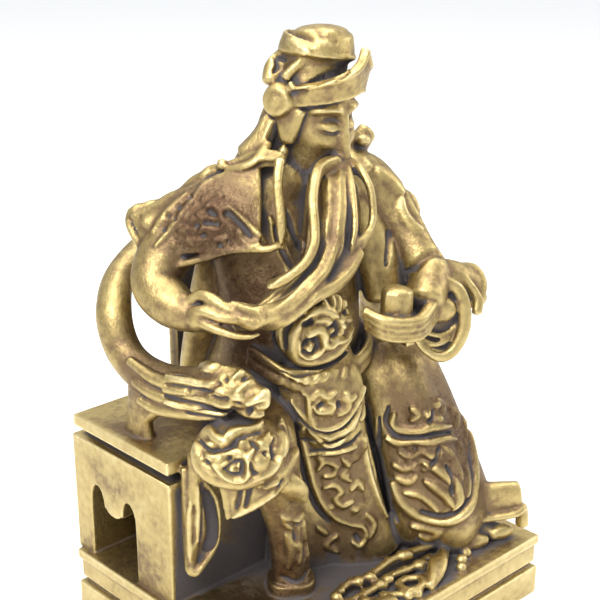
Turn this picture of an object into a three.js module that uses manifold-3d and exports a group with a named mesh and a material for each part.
import * as THREE from "three";
import { mergeVertices } from "three/addons/utils/BufferGeometryUtils.js";
import Module from "manifold-3d";

const wasm = await Module();
wasm.setup();

// A small brass casting: a bearded official in robes and a wrapped cap, seated in an armchair
// with a dragon-headed rail, cast in one with a two-band plinth.
// Millimetres. The statue stands on z = 0 and looks toward -Y; +X is the sitter's left hand.

// Plinth
const PLINTH_WIDTH = 28.9;
const PLINTH_DEPTH = 24.5;
const PLINTH_HEIGHT = 5.4;
const PLINTH_GROOVE_DEPTH = 0.5;
const PLINTH_GROOVE_HEIGHT = 0.45;
const PLINTH_LIP_HEIGHT = 0.8;

// Chair
const SEAT_HEIGHT = 12;
const BOX_WIDTH = 27.8;
const BOX_DEPTH = 12.4;
const BOX_PAST_PLINTH = 0.6;
const PLATE_THICKNESS = 1;
const PLATE_OVERHANG = 0.3;
const PLATE_SETBACK = 0.8;
const SEAT_GROOVE_HEIGHT = 1;
const SEAT_GROOVE_DEPTH = 0.9;
const ARCH_WIDTH = 5.8;
const ARCH_HEIGHT = 6.5;
const ARCH_PENDANT = 2;
const ARCH_FROM_FRONT = 4.4;
const RAIL_THICKNESS = 2.8;
const RAIL_RISE = 5.2;
const SPLAT_HALF = 5.2;

// Figure
const SITTING_HEIGHT = 29.9;

// The figure is drawn on a sheet where its sitting height is 29.9, the seat top is at z = 17.4
// and the ground under its feet at z = 5.4. Everything drawn follows the sizes above.
const SHEET_SITTING = 29.9;
const SHEET_SEAT = 17.4;
const SHEET_GROUND = 5.4;
const FIGURE_SCALE = SITTING_HEIGHT / SHEET_SITTING;
const LEG_SCALE = SEAT_HEIGHT / (SHEET_SEAT - SHEET_GROUND);
const SEAT_TOP = PLINTH_HEIGHT + SEAT_HEIGHT;

function drawn(x, y, z) {
  const height =
    z > SHEET_SEAT
      ? SEAT_TOP + (z - SHEET_SEAT) * FIGURE_SCALE
      : PLINTH_HEIGHT + (z - SHEET_GROUND) * LEG_SCALE;
  return new THREE.Vector3(x * FIGURE_SCALE, y * FIGURE_SCALE, height);
}

// Makes a closed three.js geometry a solid that can be joined and cut.
function solid(geometry) {
  const bare = geometry.clone();
  bare.deleteAttribute("normal");
  bare.deleteAttribute("uv");
  const merged = mergeVertices(bare, 1e-4);
  return new wasm.Manifold(
    new wasm.Mesh({
      numProp: 3,
      vertProperties: merged.attributes.position.array,
      triVerts: merged.index.array,
    }),
  );
}

function join(parts) {
  return parts.flat().reduce((whole, part) => whole.add(part));
}

function block([x0, x1], [y0, y1], [z0, z1]) {
  const box = new THREE.BoxGeometry(x1 - x0, y1 - y0, z1 - z0);
  return solid(box.translate((x0 + x1) / 2, (y0 + y1) / 2, (z0 + z1) / 2));
}

// A closed body strung on a smooth curve. A station is [x, y, z, half width, half thickness,
// turn in degrees]. The width lies along `across`; `press` reshapes the round section.
function loft(stations, { across = [1, 0, 0], sides = 8, steps = 8, dome = 0.5, press } = {}) {
  const centre = new THREE.CatmullRomCurve3(
    stations.map(([x, y, z]) => drawn(x, y, z)),
    false,
    "catmullrom",
  );
  const size = new THREE.CatmullRomCurve3(
    stations.map(([, , , width, thickness, turn = 0]) => new THREE.Vector3(width, thickness, turn)),
    false,
    "catmullrom",
  );
  const rows = steps + 2;
  const body = new THREE.SphereGeometry(1, sides, rows);
  const position = body.attributes.position;
  for (let row = 0; row <= rows; row++) {
    const end = row === 0 || row === rows;
    const t = THREE.MathUtils.clamp(1 - (row - 1) / steps, 0, 1);
    const at = centre.getPoint(t);
    const tangent = centre.getTangent(t);
    const { x: width, y: thickness, z: turn } = size.getPoint(t);
    const wide = new THREE.Vector3(...across).projectOnPlane(tangent).normalize();
    const deep = tangent.clone().cross(wide);
    const turned = THREE.MathUtils.degToRad(turn);
    wide.applyAxisAngle(tangent, turned);
    deep.applyAxisAngle(tangent, turned);
    const push = (row === 0 ? 1 : -1) * dome * Math.min(width, thickness) * FIGURE_SCALE;
    for (let column = 0; column <= sides; column++) {
      const angle = (2 * Math.PI * column) / sides + Math.PI;
      const swell = press ? press(angle, t) : 1;
      const point = at.clone();
      if (end) point.addScaledVector(tangent, push);
      else {
        point.addScaledVector(wide, Math.cos(angle) * width * swell * FIGURE_SCALE);
        point.addScaledVector(deep, Math.sin(angle) * thickness * swell * FIGURE_SCALE);
      }
      position.setXYZ(row * (sides + 1) + column, point.x, point.y, point.z);
    }
  }
  return solid(body);
}

// A sheet of cloth or metal: `mid` gives its middle surface over u and v from 0 to 1.
function sheet(mid, thickness, columns, rows) {
  const body = new THREE.BoxGeometry(1, 1, 1, columns, rows, 1);
  const position = body.attributes.position;
  const step = 1e-3;
  for (let i = 0; i < position.count; i++) {
    const u = position.getX(i) + 0.5;
    const v = position.getY(i) + 0.5;
    const point = drawn(...mid(u, v));
    const alongU = drawn(...mid(u + step, v)).sub(drawn(...mid(u - step, v)));
    const alongV = drawn(...mid(u, v + step)).sub(drawn(...mid(u, v - step)));
    const normal = alongU.cross(alongV).normalize();
    point.addScaledVector(normal, position.getZ(i) * thickness * FIGURE_SCALE);
    position.setXYZ(i, point.x, point.y, point.z);
  }
  return solid(body);
}

function ball([x, y, z], [rx, ry, rz], { turn = [0, 0, 0], sides = 8, rows = 6 } = {}) {
  const body = new THREE.SphereGeometry(FIGURE_SCALE, sides, rows).scale(rx, ry, rz);
  body.applyMatrix4(
    new THREE.Matrix4().makeRotationFromEuler(
      new THREE.Euler(...turn.map(THREE.MathUtils.degToRad), "ZYX"),
    ),
  );
  const { x: px, y: py, z: pz } = drawn(x, y, z);
  return solid(body.translate(px, py, pz));
}

// Folds of cloth pressed into a round section.
const folds = (count, depth, phase = 0) => (angle) => 1 + depth * Math.cos(count * angle + phase);

function mix(a, b, t) {
  return a + (b - a) * t;
}

// A smooth line through places, asked for by its share from 0 to 1.
function smoothLine(places) {
  const curve = new THREE.CatmullRomCurve3(
    places.map((place) => new THREE.Vector3(...place)),
    false,
    "catmullrom",
  );
  return (t) => curve.getPoint(THREE.MathUtils.clamp(t, 0, 1)).toArray();
}

function plinth() {
  const half = [PLINTH_WIDTH / 2, PLINTH_DEPTH / 2];
  const band = (inset, z0, z1) =>
    block([-half[0] + inset, half[0] - inset], [-half[1] + inset, half[1] - inset], [z0, z1]);
  const lip = PLINTH_HEIGHT - PLINTH_LIP_HEIGHT;
  const middle = (PLINTH_HEIGHT - PLINTH_GROOVE_HEIGHT) / 2;
  return join([
    band(0, 0, middle),
    band(PLINTH_GROOVE_DEPTH, middle - 0.1, middle + PLINTH_GROOVE_HEIGHT + 0.1),
    band(PLINTH_GROOVE_DEPTH / 3, middle + PLINTH_GROOVE_HEIGHT, lip),
    band(0, lip - 0.1, PLINTH_HEIGHT),
  ]);
}

// The box seat: cheeks with a double arch and a pendant between, under an overhanging plate.
function seat() {
  const back = PLINTH_DEPTH / 2 + BOX_PAST_PLINTH;
  const front = back - BOX_DEPTH;
  const half = BOX_WIDTH / 2;
  const plateBottom = SEAT_TOP - PLATE_THICKNESS;
  const boxTop = plateBottom - SEAT_GROOVE_HEIGHT;
  const neck = half - SEAT_GROOVE_DEPTH;
  const plate = half + PLATE_OVERHANG;
  const sunk = 0.2;
  const body = join([
    block([-half, half], [front, back], [PLINTH_HEIGHT - sunk, boxTop]),
    block(
      [-neck, neck],
      [front + SEAT_GROOVE_DEPTH, back - SEAT_GROOVE_DEPTH],
      [boxTop - sunk, plateBottom + sunk],
    ),
    block([-plate, plate], [front - PLATE_OVERHANG, back - PLATE_SETBACK], [plateBottom, SEAT_TOP]),
  ]);
  const arch = new THREE.Shape();
  const rear = ARCH_FROM_FRONT + ARCH_WIDTH;
  const top = PLINTH_HEIGHT + ARCH_HEIGHT;
  const lobe = ARCH_WIDTH * 0.3;
  const pendantHalf = ARCH_WIDTH / 2 - lobe;
  const pendantBottom = top - ARCH_PENDANT;
  const middle = ARCH_FROM_FRONT + ARCH_WIDTH / 2;
  arch.moveTo(ARCH_FROM_FRONT, PLINTH_HEIGHT);
  arch.lineTo(rear, PLINTH_HEIGHT);
  arch.lineTo(rear, top - lobe);
  arch.quadraticCurveTo(rear, top, rear - lobe * 0.5, top);
  arch.quadraticCurveTo(middle + pendantHalf, top, middle + pendantHalf, pendantBottom + lobe / 2);
  arch.quadraticCurveTo(middle + pendantHalf / 2, pendantBottom, middle, pendantBottom);
  arch.quadraticCurveTo(
    middle - pendantHalf / 2,
    pendantBottom,
    middle - pendantHalf,
    pendantBottom + lobe / 2,
  );
  arch.quadraticCurveTo(middle - pendantHalf, top, ARCH_FROM_FRONT + lobe * 0.5, top);
  arch.quadraticCurveTo(ARCH_FROM_FRONT, top, ARCH_FROM_FRONT, top - lobe);
  const tunnel = new THREE.ExtrudeGeometry(arch, {
    depth: BOX_WIDTH + 2,
    bevelEnabled: false,
    curveSegments: 3,
  });
  // The arch is drawn in y and z, then set along x.
  tunnel.applyMatrix4(
    new THREE.Matrix4().makeBasis(
      new THREE.Vector3(0, 1, 0),
      new THREE.Vector3(0, 0, 1),
      new THREE.Vector3(1, 0, 0),
    ),
  );
  tunnel.translate(-half - 1, front, 0);
  return body.subtract(solid(tunnel));
}

// Half of the horseshoe rail, from behind the back to the dragon's neck, on side +1 or -1.
function rail(side) {
  const r = RAIL_THICKNESS / 2;
  const low = SHEET_SEAT + RAIL_RISE;
  return loft(
    [
      [0, 11.3, low + 8.2, r * 0.8, r],
      [side * 5.5, 11.4, low + 7.6, r * 0.8, r],
      [side * 10, 10.4, low + 5.8, r * 0.85, r],
      [side * 12.5, 8.2, low + 4, r * 0.95, r],
      [side * 12.8, 7, low + 1.6, r * 0.95, r],
      [side * 12.5, 5.2, low + 0.1, r * 0.9, r * 1.1],
      [side * 11.9, 2.4, low - 0.5, r * 0.9, r * 1.2],
      [side * 11, -0.2, low - 0.2, r * 0.85, r * 1.2],
      [side * 10.4, -2.4, low + 0.2, r * 0.8, r],
    ],
    { across: [side, 0, 0], sides: 6, steps: 10 },
  );
}

function dragonHead(side) {
  const z = SHEET_SEAT + RAIL_RISE + 0.5;
  const across = [side, 0, 0];
  return [
    loft(
      [
        [side * 10.9, -1.4, z + 0.1, 1.3, 1.4],
        [side * 10.6, -3.2, z + 0.3, 1.5, 1.5],
        [side * 10.3, -4.6, z + 0.1, 1.1, 1],
        [side * 10.1, -5.6, z + 0.1, 0.9, 0.8],
      ],
      { across, sides: 6, steps: 4 },
    ),
    ball([side * 10.2, -4.3, z - 1.1], [0.8, 1.4, 0.5], { sides: 6, rows: 3 }),
    ball([side * 11.2, -3.4, z + 1.1], [0.5, 0.7, 0.5], { sides: 4, rows: 3 }),
    loft(
      [
        [side * 11.2, -2.8, z + 1.1, 0.5, 0.4],
        [side * 11.2, -1.5, z + 1.6, 0.55, 0.4],
        [side * 11.1, -0.3, z + 1.2, 0.3, 0.3],
      ],
      { across, sides: 4, steps: 3 },
    ),
  ];
}

// Locks of mane that run back along the outside of the rail.
function mane(side) {
  const z = SHEET_SEAT + RAIL_RISE - 0.3;
  return [0.95, -0.3, -1.35].map((rise, i) =>
    loft(
      [
        [side * 11.2, -2.6, z + 0.5 + rise, 0.5, 0.5],
        [side * 12.3, -0.4, z + rise * 0.9, 0.5, 0.55],
        [side * 13.1, 2.4, z - 0.2 + rise, 0.5, 0.5],
        [side * 13.6, 5 - i * 0.5, z + 0.4 + rise * 1.2, 0.3, 0.35],
      ],
      { across: [side, 0, 0], sides: 4, steps: 3 },
    ),
  );
}

function armPost(side) {
  const top = SHEET_SEAT + RAIL_RISE;
  const across = [side, 0, 0];
  return [
    loft(
      [
        [side * 12.4, 5.8, SHEET_SEAT - 0.3, 0.8, 1.7],
        [side * 12.4, 5.6, SHEET_SEAT + 1.6, 0.7, 1.3],
        [side * 12.4, 5, top, 0.8, 1.6],
      ],
      { across, sides: 6, steps: 3 },
    ),
    loft(
      [
        [side * 12.4, 4.6, SHEET_SEAT + 1.6, 0.4, 0.4],
        [side * 12.3, 1.8, top - 0.8, 0.4, 0.8],
      ],
      { across, sides: 5, steps: 1 },
    ),
  ];
}

// A plain splat that carries the rail behind the sitter, open on either side of it.
function chairBack() {
  const top = SHEET_SEAT + RAIL_RISE + 8;
  const y = 11.2;
  return sheet(
    (u, v) => [
      mix(-SPLAT_HALF, SPLAT_HALF, u),
      y - 0.5 * (2 * u - 1) ** 2,
      mix(SHEET_SEAT - 0.3, top, v),
    ],
    1,
    3,
    1,
  );
}

// Body, with the chest turned toward the sitter's right.
const CHEST_ACROSS = [0.946, -0.324, 0];

function torso() {
  return loft(
    [
      [-0.2, 3.4, 17.2, 6.8, 5.2],
      [-0.6, 2.6, 20.5, 6.2, 5],
      [-1, 1.4, 24, 5.5, 4.9],
      [-0.8, 1.7, 27.5, 5.6, 4.4],
      [-0.4, 2.3, 31.5, 6.2, 3.8],
      [0.1, 2.6, 34.2, 5.8, 3.3],
      [0.6, 2, 36.2, 3.6, 2.6],
      [0.9, 1.4, 38, 2, 2],
    ],
    { across: CHEST_ACROSS, sides: 11, steps: 6 },
  );
}

// The robe's back, falling from the shoulders to the seat against the splat.
function backDrape() {
  return loft(
    [
      [0, 8, 17.2, 6.4, 3.5],
      [-0.2, 7.2, 22, 6.2, 3.4],
      [-0.4, 5.4, 29, 5.9, 3.2],
      [0.2, 4.2, 34.4, 5, 2.6],
      [0.6, 3.4, 36.6, 3, 1.8],
    ],
    { sides: 9, steps: 4, press: folds(4, 0.05) },
  );
}

function lap() {
  return [
    loft(
      [
        [0, 3.4, 17.2, 7.8, 4.4],
        [0, 3.4, 18.8, 7.6, 4.4],
        [0, 3.4, 21, 6.6, 4.2],
      ],
      { sides: 9, steps: 3 },
    ),
    loft(
      [
        [2.4, 4.4, 19.3, 3.4, 3],
        [4.2, 0.6, 20, 3.4, 3],
        [5.5, -2.4, 20, 3.2, 2.8],
      ],
      { sides: 8, steps: 4 },
    ),
    loft(
      [
        [-3, 4.4, 19, 3.2, 2.8],
        [-6, 0.4, 18.8, 3.1, 2.8],
        [-8.2, -3.2, 18, 2.7, 2.5],
      ],
      { sides: 8, steps: 4 },
    ),
  ];
}

// The robe over the left leg, spreading to a wide hem.
function leftRobe() {
  return [
    loft(
      [
        [8, -7, 5, 4.5, 3.9],
        [8, -6.9, 6.6, 4.4, 3.9],
        [7.7, -6.2, 10, 4.1, 3.8],
        [7, -5.2, 14, 3.7, 3.6],
        [6.2, -3.9, 18, 3.5, 3.5],
        [5.7, -2.8, 20.6, 3.2, 3],
        [5.4, -2.2, 22.1, 1.9, 1.8],
      ],
      { across: [0.8, -0.6, 0], sides: 14, steps: 6, press: folds(5, 0.07) },
    ),
    // The hem's outer corner, a short train over a roll of cloth.
    loft(
      [
        [8.8, -7.6, 8.9, 1.4, 1],
        [10.8, -9.5, 8.9, 1.4, 0.75],
        [12.7, -11.1, 9.4, 1.15, 0.6],
      ],
      { across: [0, 0, 1], sides: 8, steps: 2 },
    ),
    loft(
      [
        [9.2, -8, 6.2, 1.3, 1.4],
        [10.6, -9.2, 6.3, 0.9, 1],
        [11.8, -10, 6, 0.6, 0.6],
      ],
      { across: [0, 0, 1], sides: 6, steps: 2 },
    ),
  ];
}

function apron() {
  const panel = (stations, steps) =>
    loft(stations, { across: [0.86, -0.5, 0], sides: 6, steps, dome: 0.3 });
  return [
    panel(
      [
        [-2.8, -2.8, 23.4, 3.6, 1.2],
        [-2.4, -3.8, 20.8, 3.1, 1.2],
        [-1.2, -4.2, 17.6, 2.3, 0.9],
      ],
      4,
    ),
    panel(
      [
        [-1.6, -3.4, 19, 2.6, 1],
        [-0.8, -3.9, 16.6, 2.2, 0.9],
        [-0.3, -4, 14.4, 1.4, 0.7],
      ],
      3,
    ),
    panel(
      [
        [-1.2, -2.6, 18, 3, 1.2],
        [-0.2, -3.2, 13, 3, 1.2],
        [0.8, -3.6, 8.6, 3.1, 1.3],
        [1.6, -4.2, 5.2, 3.4, 1.6],
      ],
      5,
    ),
    // The body of the robe between the legs.
    loft(
      [
        [1.2, -0.6, 5.2, 6, 3.4],
        [1.2, -0.4, 12, 5.6, 3.2],
        [0.6, 0.6, 19, 6, 3.4],
      ],
      { sides: 7, steps: 2 },
    ),
  ];
}

function rightLeg() {
  const across = [0.8, -0.6, 0];
  const hem = smoothLine([
    [-11.3, -3, 13.2],
    [-10.9, -3.9, 13.8],
    [-10.1, -4.6, 14.4],
    [-9, -5.4, 15.2],
    [-8, -5.8, 16.2],
  ]);
  const underKnee = smoothLine([
    [-11.6, -2.4, 17],
    [-11.1, -3.6, 17],
    [-10.2, -4.4, 17],
    [-9, -4.9, 17],
    [-8, -5.2, 17.4],
  ]);
  return [
    loft(
      [
        [-5.7, -3.7, 6.6, 1.5, 1.55],
        [-6, -3.7, 9, 1.4, 1.5],
        [-6.5, -3.8, 11.5, 1.45, 1.5],
        [-7.2, -3.9, 14, 1.7, 1.7],
        [-8.3, -3.9, 17.4, 2.4, 2.3],
      ],
      { across, sides: 8, steps: 3, dome: 0.2 },
    ),
    // Sole of the boot.
    loft([[-5.7, -3.7, 5.2, 1.85, 1.8], [-5.7, -3.7, 6.3, 1.8, 1.75]], {
      across,
      sides: 8,
      steps: 1,
      dome: 0.1,
    }),
    // Round beast mask on the knee.
    ball([-10.2, -3.3, 18.4], [3.4, 2.9, 2.7], { turn: [0, 0, -36], sides: 9, rows: 6 }),
    // Cloth under the knee, and its bow.
    sheet((u, v) => hem(u).map((value, i) => mix(value, underKnee(u)[i], v)), 0.7, 3, 1),
    loft(
      [
        [-8.5, -5.2, 16.4, 0.5, 0.5],
        [-7.9, -5.8, 15.8, 1, 0.6],
        [-7.1, -6, 14.9, 0.9, 0.5],
        [-6.6, -6.2, 14.2, 0.3, 0.3],
      ],
      { across, sides: 5, steps: 3 },
    ),
  ];
}

// The robe's side panel, a leaf hanging from the right knee past the seat.
function sidePanel() {
  const innerEdge = smoothLine([
    [-12.7, 0, 8.5],
    [-11, 0, 9.8],
    [-10.4, 0, 11.6],
    [-10.7, 0, 14.1],
    [-12, 0, 16.2],
    [-12.7, 0, 17],
  ]);
  const rim = [0.02, 0.2, 0.4, 0.6, 0.8, 0.95].map((v) => {
    const [x, , z] = innerEdge(v);
    return [x - 0.3, -1, z, 0.28, 0.5];
  });
  return [
    sheet(
      (u, v) => {
        const [x, , z] = innerEdge(v);
        return [mix(-13.2, x, u), -0.2 - 0.5 * u, z];
      },
      0.6,
      1,
      5,
    ),
    loft([[-13.2, -0.6, 8.6, 0.25, 0.4], ...rim], { sides: 4, steps: 5 }),
    // The fold along its outer edge.
    loft(
      [
        [-12.9, -0.6, 8.8, 0.3, 0.4],
        [-12.6, -0.8, 12.5, 0.6, 0.5],
        [-12.6, -1, 18.2, 0.5, 0.5],
      ],
      { sides: 5, steps: 2 },
    ),
  ];
}

// The shoulder cape: a stiff leaf whose point stands off behind the upper arm.
function cape() {
  const inner = { top: [-3.6, 1.6, 37.6], foot: [-5.9, -0.9, 32.2] };
  const outer = { top: [-10.3, 8.3, 33.4], foot: [-10.4, 5.8, 31] };
  const edge = ({ top, foot }, v) => top.map((value, i) => mix(foot[i], value, v));
  const leaf = (u, v) => {
    const [a, b] = [edge(inner, v), edge(outer, v)];
    const bulge = Math.sin(Math.PI * u) * (0.2 + 0.8 * Math.sin(Math.PI * v));
    return [
      mix(a[0], b[0], u) - 0.7 * bulge,
      mix(a[1], b[1], u) - 0.7 * bulge,
      mix(a[2], b[2], u) + 0.5 * bulge,
    ];
  };
  return [
    sheet(leaf, 1.1, 4, 3),
    // Border along the foot, and the rolled back edge.
    loft(
      [
        [-5.2, -2.3, 32.6],
        [-6.5, -0.8, 32.1],
        [-8.6, 2.2, 31.2],
        [-10.3, 4.9, 30.7],
        [-10.8, 7.3, 32],
        [-10.2, 8.8, 33.4],
      ].map((place) => [...place, 0.3, 0.34]),
      { across: [0, 0, 1], sides: 4, steps: 6 },
    ),
    loft(
      [
        [-10.1, 8.6, 33.3, 0.7, 0.7],
        [-8.3, 7.6, 33.8, 0.75, 0.7],
        [-7.2, 6.4, 34.7, 0.7, 0.65],
        [-5.4, 4.4, 36.8, 0.5, 0.5],
      ],
      { across: [0.3, 0.6, -0.75], sides: 5, steps: 3 },
    ),
    loft(
      [
        [-3.2, 3.6, 35.5, 2.1, 1.3],
        [-6.8, 5.8, 33.7, 2.2, 1.3],
        [-9.6, 7.3, 32.4, 1.7, 1],
      ],
      { across: [0.3, 0.6, -0.75], sides: 5, steps: 2 },
    ),
  ];
}

function rightArm() {
  return [
    loft(
      [
        [-6, 4.4, 34, 2.2, 2.4],
        [-9, 5.6, 31.4, 2.1, 2.1],
        [-10.8, 5.2, 29.2, 1.8, 1.8],
        [-10.9, 3.2, 28, 1.7, 1.6],
        [-10.2, 1.2, 27.3, 1.15, 1.1],
      ],
      { across: [0.6, -0.4, 0.6], sides: 7, steps: 5 },
    ),
    // Fist round the beard.
    ball([-9.4, -0.5, 27.1], [1.2, 1.5, 1.2], { sides: 6, rows: 4 }),
    // Thumb.
    loft(
      [
        [-10.6, 0.6, 28.1, 0.4, 0.45],
        [-10.2, -0.6, 28.7, 0.45, 0.5],
        [-9.2, -1.4, 28.6, 0.45, 0.45],
        [-8.4, -2, 28, 0.35, 0.35],
      ],
      { across: [0, 0, 1], sides: 4, steps: 3 },
    ),
    ...[0, 1, 2, 3].map((i) =>
      loft(
        [
          [-10.3 + 0.25 * i, -0.2 - 0.2 * i, 27.7 - 0.5 * i, 0.3, 0.3],
          [-9.9 + 0.25 * i, -1.5 - 0.2 * i, 27.8 - 0.55 * i, 0.34, 0.36],
          [-8.6 + 0.2 * i, -2.1 - 0.15 * i, 27.5 - 0.5 * i, 0.32, 0.36],
        ],
        { across: [0, 0, 1], sides: 4, steps: 2 },
      ),
    ),
  ];
}

function leftArm() {
  return [
    loft(
      [
        [4.2, 1, 35.2, 2.3, 2.3],
        [5.7, 0, 34.6, 2.2, 2.2],
        [6.7, -1.6, 32.4, 1.85, 2.1],
        [7.2, -4, 29.9, 1.75, 1.9],
        [6.9, -5.8, 28.2, 1.7, 1.7],
        [5, -6.9, 27, 1.6, 1.5],
      ],
      { across: [0.6, 0.5, 0.3], sides: 8, steps: 6 },
    ),
    ball([8.2, -0.9, 32.9], [0.7, 0.7, 0.8], { sides: 5, rows: 3 }),
    // Cloth between the arm and the side of the body.
    loft(
      [
        [4.4, 0, 33.4, 1.8, 1.6],
        [4.6, -2, 30, 2, 1.8],
        [4.8, -3.2, 26.8, 1.8, 1.6],
      ],
      { sides: 6, steps: 2 },
    ),
  ];
}

// The left sleeve, thrown out past the forearm and hanging below it.
function leftSleeve() {
  const cuff = [
    [6.9, -7.4, 28.2, 0.38],
    [8, -8.4, 26, 0.42],
    [7.8, -8.6, 24.4, 0.42],
    [7, -8.4, 22.9, 0.38],
    [6, -7.9, 22.4, 0.34],
    [5, -7.1, 23.1, 0.26],
    [4.4, -6.5, 24.4, 0.26],
  ];
  return [
    loft(
      [
        [7, -5, 28.4, 1.2, 1],
        [9.2, -6.2, 27.8, 1.2, 1],
        [10.5, -6.8, 26.9, 1.2, 0.8],
        [11.2, -7.3, 25.4, 0.9, 0.6],
      ],
      { across: [0.7, 0.2, 0.7], sides: 6, steps: 3 },
    ),
    loft(
      [
        [8, -5.6, 28.4],
        [9, -6.4, 28.3],
        [9.9, -8.1, 26.2],
        [9.6, -8.4, 25.2],
      ].map((place) => [...place, 0.36, 0.45]),
      { across: [0.5, 0.6, 0.6], sides: 4, steps: 3 },
    ),
    loft(cuff.map(([x, y, z, wide]) => [x, y, z, wide, wide * 1.3]), {
      across: [0.5, 0.8, 0],
      sides: 4,
      steps: 6,
    }),
    // Cloth inside the cuff.
    sheet((u, v) => [mix(4.2, 8.4, u), -5.6 - 0.9 * u, mix(23.2, 27.6, v) + 0.4 * u], 1.2, 1, 1),
    loft(
      [
        [8.9, -5.4, 28, 1.1, 1],
        [8.8, -6.1, 25.8, 1.1, 1],
        [7.8, -6.2, 24, 0.9, 0.9],
      ],
      { sides: 6, steps: 2 },
    ),
  ];
}

// The left hand with folded pages round a short roll.
function rollAndHand() {
  const fingers = [
    [26.5, 0.5],
    [25.75, 0.3],
    [25.25, 0.28],
    [24.8, 0.28],
  ];
  return [
    loft([[2, -6.8, 25.6, 1.2, 1.2], [2.1, -6.8, 28.6, 1.2, 1.2]], {
      across: [0.7, -0.7, 0],
      sides: 8,
      steps: 1,
      dome: 0.1,
    }),
    ...fingers.map(([z, thickness], i) =>
      loft(
        [
          [-0.9 + 0.1 * i, -5.8, z + 0.2, thickness * 0.8, 0.4],
          [-0.1, -7.5, z, thickness, 0.45],
          [2.4, -8.5, z - 0.2, thickness, 0.45],
          [5.2, -7.7, z + 0.5, thickness, 0.5],
        ],
        { across: [0, 0, 1], sides: 4, steps: 3 },
      ),
    ),
    ball([2.4, -6.6, 25.4], [2.5, 1.5, 1.1], { sides: 6, rows: 4 }),
  ];
}

// Round beast mask on the belly, and the belt under it.
function bellyMask() {
  const [cx, cy, cz] = [-2.8, -3.1, 25.8];
  const features = [
    [0, 0.4, 0.9], [1, 1.1, 0.6], [-1, 1.1, 0.6], [0, -1.1, 0.8],
  ];
  const [ax, ay] = CHEST_ACROSS;
  return [
    ball([cx, cy, cz], [3, 1.5, 2.8], { turn: [0, 0, -19], sides: 9, rows: 6 }),
    ...features.map(([across, up, r]) =>
      ball([cx + ax * across - 0.4, cy + ay * across - 1.1, cz + up], [r, r * 0.8, r * 0.8], {
        sides: 5,
        rows: 3,
      }),
    ),
    loft(
      [
        [-6.3, 0, 23.8, 0.5, 0.9],
        [-5.6, -2.5, 22.9, 0.55, 0.9],
        [-3.6, -4.1, 22.1, 0.6, 0.9],
        [-0.3, -4.5, 22.2, 0.6, 0.9],
        [2.6, -3.6, 22.9, 0.55, 0.9],
        [4.2, -1, 23.6, 0.5, 0.9],
      ],
      { across: [1, -1, 0], sides: 4, steps: 7 },
    ),
  ];
}

// Head, turned to the sitter's left and bowed. The face is bowed a little more than the cap.
const HEAD = [1.2, 0.3, 39.7];
const HEAD_YAW = 20;
const HEAD_PITCH = 20;
const FACE = [1.2, 0, 40.4];
const FACE_PITCH = 25;
const FACE_TOP = 4.3;
const FACE_TALL = 9;

function tilted([x, y, z], middle, pitch) {
  const turn = new THREE.Euler(
    THREE.MathUtils.degToRad(pitch),
    0,
    THREE.MathUtils.degToRad(HEAD_YAW),
    "ZYX",
  );
  const point = new THREE.Vector3(x, y, z).applyEuler(turn);
  return [middle[0] + point.x, middle[1] + point.y, middle[2] + point.z];
}

const onHead = (place) => tilted(place, HEAD, HEAD_PITCH);
const onFace = (place) => tilted(place, FACE, FACE_PITCH);

function headBall(place, radii, detail = {}) {
  return ball(onHead(place), radii, { turn: [HEAD_PITCH, 0, HEAD_YAW], ...detail });
}

function head() {
  const [eyes, nose, mouth, chin] = [0.5, 0.7, 0.79, 0.97].map((share) => FACE_TOP - FACE_TALL * share);
  const bump = (place, radii) =>
    ball(onFace(place), radii, { turn: [FACE_PITCH, 0, HEAD_YAW], sides: 5, rows: 3 });
  return [
    loft(
      [
        [...onFace([0, -0.8, chin + 0.1]), 1.5, 1.7],
        [...onFace([0, -0.4, mouth - 0.5]), 2.05, 2.35],
        [...onFace([0, -0.05, nose - 0.2]), 2.4, 2.75],
        [...onFace([0, 0.15, eyes - 0.7]), 2.62, 3],
        [...onFace([0, 0.3, eyes + 1.8]), 2.65, 3.15],
        [...onFace([0, 0.4, eyes + 3.2]), 2.3, 2.8],
      ],
      { across: [0.94, 0.34, 0], sides: 8, steps: 5, dome: 0.3 },
    ),
    loft([[...onFace([0, -2.9, eyes + 0.6]), 0.3, 0.25], [...onFace([0, -3.4, nose + 0.2]), 0.55, 0.6]], {
      sides: 5,
      steps: 1,
    }),
    ...[-1, 1].flatMap((side) => [
      bump([side * 1.1, -2.65, eyes + 0.75], [0.85, 0.35, 0.25]),
      // Moustache.
      loft(
        [
          [...onFace([side * 0.1, -3.1, nose - 0.45]), 0.16, 0.3],
          [...onFace([side * 1.2, -2.7, mouth - 0.1]), 0.24, 0.3],
          [...onFace([side * 1.5, -2.4, mouth - 1.4]), 0.12, 0.2],
        ],
        { sides: 3, steps: 2 },
      ),
    ]),
    bump([0, -2.5, mouth - 0.1], [0.7, 0.4, 0.35]),
  ];
}

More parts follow.
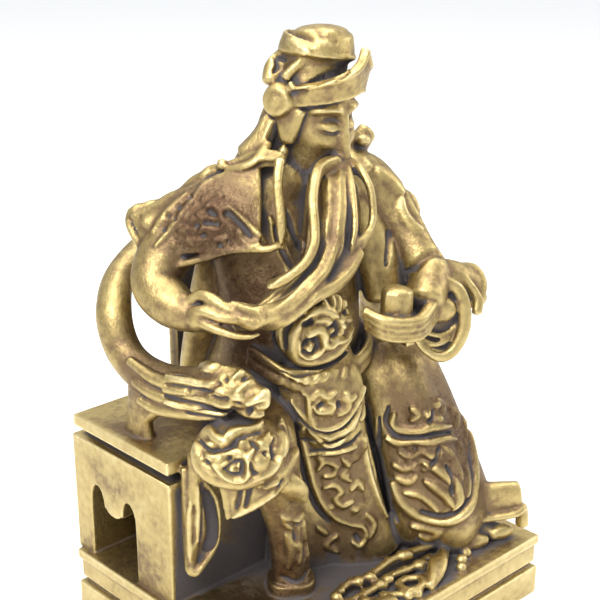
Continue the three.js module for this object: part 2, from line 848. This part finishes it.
function cap() {
  return [
    loft(
      [
        [0.9, 0.9, 41.6, 2.8, 2.9],
        [1, 0.8, 44.4, 2.4, 2.4],
        [1.1, 0.7, 45.4, 2.2, 2.2],
      ],
      { sides: 7, steps: 1, across: [0.94, 0.34, 0], dome: 0.2 },
    ),
    // Soft crown, hanging over all round like a bag.
    loft(
      [
        [0.88, 0.6, 44.6, 2.35, 2.35],
        [0.95, 0.66, 44.85, 2.72, 2.74],
        [1.12, 0.78, 45.4, 2.66, 2.64],
        [1.38, 0.66, 46.1, 2.2, 2.15],
        [1.6, 0.45, 46.75, 1.45, 1.45],
      ],
      { sides: 8, steps: 4, across: [0.94, 0.34, 0], dome: 0.16 },
    ),
    // Fold at the right of the crown.
    loft([[-0.9, 2.2, 44.8, 0.5, 0.6], [-1.5, 2.3, 44, 0.7, 0.8], [-2.1, 2.1, 43.1, 0.6, 0.7]], {
      across: [0.6, 0.8, 0],
      sides: 5,
      steps: 2,
    }),
    // Upturned band, rising to a point over the brow.
    sheet(
      (u, v) => {
        const angle = THREE.MathUtils.degToRad(mix(-110, 110, u) - 90 + HEAD_YAW);
        const rise = 1 - Math.abs(2 * u - 1);
        const radius = 2.9 + (0.2 + 0.3 * rise) * v;
        return [
          HEAD[0] + radius * Math.cos(angle),
          HEAD[1] + 0.2 + radius * 1.08 * Math.sin(angle),
          41.5 + 0.9 * rise + v * (1.4 + 1.9 * rise * rise),
        ];
      },
      0.7,
      8,
      1,
    ),
    // Bosses over the ears, with flaps below them.
    ...[-1, 1].flatMap((side) => [
      headBall([side * 3.1, 2.5, 1.5], [0.8, 1.25, 1.3], { sides: 6, rows: 4 }),
      loft(
        [
          [...onHead([side * 2.8, 1.6, 1.1]), 1.25, 0.4],
          [...onHead([side * 2.95, 1.2, -0.2]), 0.85, 0.4],
          [...onHead([side * 3, 1, -1.1]), 0.6, 0.35],
        ],
        { across: [-0.34, 0.94, 0], sides: 4, steps: 2 },
      ),
      loft(
        [
          [...onHead([side * 2, 2.6, 1.4]), 0.8, 1.2],
          [...onHead([side * 2.1, 2.8, -3.4]), 0.6, 1],
        ],
        { sides: 4, steps: 1 },
      ),
      headBall([side * 3, 1, -1.6], [0.5, 0.5, 0.6], { sides: 4, rows: 3 }),
    ]),
    loft(
      [
        [...onHead([0, 2.6, 3]), 2.2, 1.1],
        [...onHead([0, 3, 0]), 2.7, 1.1],
        [...onHead([0, 2.8, -3.4]), 2.4, 0.9],
      ],
      { sides: 4, steps: 1 },
    ),
    // Ribbon hanging from the cap behind the right ear.
    loft([[-2.5, 2.7, 40.3, 0.6, 0.6], [-3.1, 3.1, 38.8, 0.85, 0.7], [-4, 3.9, 37.7, 0.8, 0.6]], {
      across: [0.6, 0.7, 0],
      sides: 5,
      steps: 2,
    }),
  ];
}

function collar() {
  return [
    loft(
      [
        [-3.2, -0.2, 38, 0.5, 0.6],
        [-3.7, 1.2, 37.9, 0.6, 0.6],
        [-4.3, 2.7, 37.3, 0.6, 0.6],
        [-5, 4, 36.8, 0.55, 0.55],
      ],
      { across: [0, 0, 1], sides: 5, steps: 3 },
    ),
    loft(
      [
        [-4, 3, 37, 0.7, 0.9],
        [-1, 4.8, 37.4, 0.8, 1],
        [3, 4.2, 37.2, 0.8, 1],
        [5, 1.4, 36.8, 0.8, 1],
        [4.4, -1.2, 36, 0.6, 0.8],
      ],
      { across: [0, 0, 1], sides: 5, steps: 5 },
    ),
    // The bow that ties it, on the left shoulder.
    loft([[4.8, 1.2, 36.6, 0.7, 0.6], [6.2, 1.1, 37.8, 0.9, 0.7]], { sides: 5, steps: 1 }),
  ];
}

// A lock of the beard: a flat ribbon of hair that thins toward its end.
const lock = (width, ...path) =>
  loft(
    path.map((place, i) => [...place, width * (i === path.length - 1 ? 0.5 : 1), 0.6]),
    { across: [0.72, -0.69, 0], sides: 4, steps: path.length - 1, dome: 0.4 },
  );

function beard() {
  return [
    lock(
      0.36,
      [-4, -0.9, 38.2],
      [-4.6, -1.3, 36.8],
      [-5.1, -2.2, 33.8],
      [-5.2, -2.3, 32.6],
    ),
    lock(
      0.36,
      [1.4, -2.2, 37.1],
      [-1.7, -2.6, 37.5],
      [-3.8, -4, 35.7],
      [-4.6, -5, 33.1],
      [-6.1, -4.6, 31.2],
      [-7.5, -3.4, 30.3],
    ),
    lock(0.85, [0.6, -1.8, 36.9], [-1.9, -4.3, 35], [-3.1, -5.1, 32.4], [-3.8, -5.1, 31.2]),
    lock(0.24, [1.4, -2.1, 37.1], [-0.2, -4.5, 34.9], [-1.5, -5.6, 32.3]),
    lock(
      0.28,
      [1.7, -2.2, 37.2],
      [1.7, -4.3, 35.7],
      [1.6, -4.7, 34.2],
      [-0.1, -5.4, 32.4],
      [-1.7, -5.7, 32.2],
    ),
    lock(
      0.7,
      [-0.9, -5.4, 31.8],
      [-3.8, -5.8, 30.1],
      [-6.6, -5.4, 29.1],
      [-8.4, -3.7, 27.6],
      [-9.2, -2.6, 27.4],
    ),
    lock(0.5, [-2.8, -5.2, 33], [-4.4, -5.7, 31.3], [-7.3, -5, 29.2], [-8.8, -2.4, 28.4]),
    // The body of the beard behind the locks.
    loft(
      [
        [0.8, -1, 36.4, 1.5, 1],
        [-0.4, -2.5, 35.2, 1.9, 1.4],
        [-1.5, -3.4, 32.8, 2, 1.5],
        [-3.8, -4, 30.4, 1.3, 1.2],
        [-7.2, -2.6, 28, 0.8, 0.8],
        [-8.8, -1.4, 27.2, 0.6, 0.6],
      ],
      { across: [0.72, -0.69, 0], sides: 5, steps: 3 },
    ),
  ];
}

// Waves and scrolls in relief on the plinth in front of the feet.
function waves() {
  const crest = [
    [-4.9, -7.6, 6],
    [-1.4, -7.8, 6.3],
    [1.2, -7.6, 6.4],
    [6, -8.5, 6.4],
  ];
  const beads = [
    [-1.8, -8.7, 0.5],
    [5.6, -10.6, 0.5],
    [7.4, -10.2, 0.6],
    [-3.6, -9.6, 0.6],
    [-9.4, -8.8, 0.6],
  ];
  return [
    loft(crest.map((place) => [...place, 0.5, 0.45]), { across: [0, 0, 1], sides: 5, steps: 4 }),
    loft(
      [
        [6.3, -8.9, 6, 0.6, 0.5],
        [4, -10.2, 6.3, 0.85, 0.6],
        [1.4, -11.5, 6, 0.8, 0.5],
      ],
      { sides: 5, steps: 3 },
    ),
    loft([[7.6, -9.6, 6, 0.6, 0.5], [8.8, -10, 6.1, 0.8, 0.65], [9.8, -10.3, 6, 0.5, 0.4]], {
      across: [0, 0, 1],
      sides: 5,
      steps: 2,
    }),
    loft([[10.8, -10.2, 6.1, 0.55, 0.5], [11.6, -10.5, 6.2, 0.8, 0.65], [12.3, -10.8, 6.1, 0.5, 0.4]], {
      across: [0, 0, 1],
      sides: 5,
      steps: 2,
    }),
    loft([[-5.4, -10.4, 5.7, 0.7, 0.4], [-3.6, -10.8, 5.8, 0.8, 0.6], [-1.8, -11, 5.7, 0.6, 0.4]], {
      sides: 5,
      steps: 2,
    }),
    ball([0.5, -10.4, 5.8], [0.9, 0.8, 0.5], { sides: 5, rows: 3 }),
    ...beads.map(([x, y, size]) => ball([x, y, 5.7], [size, size, size * 0.9], { sides: 4, rows: 3 })),
  ];
}

const brass = new THREE.MeshStandardMaterial({ color: 0xc9a24a, roughness: 0.35, metalness: 1 });

const joined = join([
  plinth(),
  seat(),
  chairBack(),
  [-1, 1].flatMap((side) => [rail(side), dragonHead(side), mane(side), armPost(side)].flat()),
  torso(),
  backDrape(),
  lap(),
  leftRobe(),
  apron(),
  rightLeg(),
  sidePanel(),
  rightArm(),
  cape(),
  leftArm(),
  leftSleeve(),
  rollAndHand(),
  bellyMask(),
  head(),
  cap(),
  collar(),
  beard(),
  waves(),
]);

// Pockets shut in where the forms meet are solid metal.
const casting = join(joined.decompose().filter((body) => body.volume() > 0));

const surface = casting.getMesh();
const geometry = new THREE.BufferGeometry();
geometry.setAttribute("position", new THREE.Float32BufferAttribute(surface.vertProperties, 3));
geometry.setIndex(new THREE.BufferAttribute(surface.triVerts, 1));
geometry.computeVertexNormals();

const statue = new THREE.Mesh(geometry, brass);
statue.name = "guan_yu_statue";

const group = new THREE.Group();
group.add(statue);

export default group;
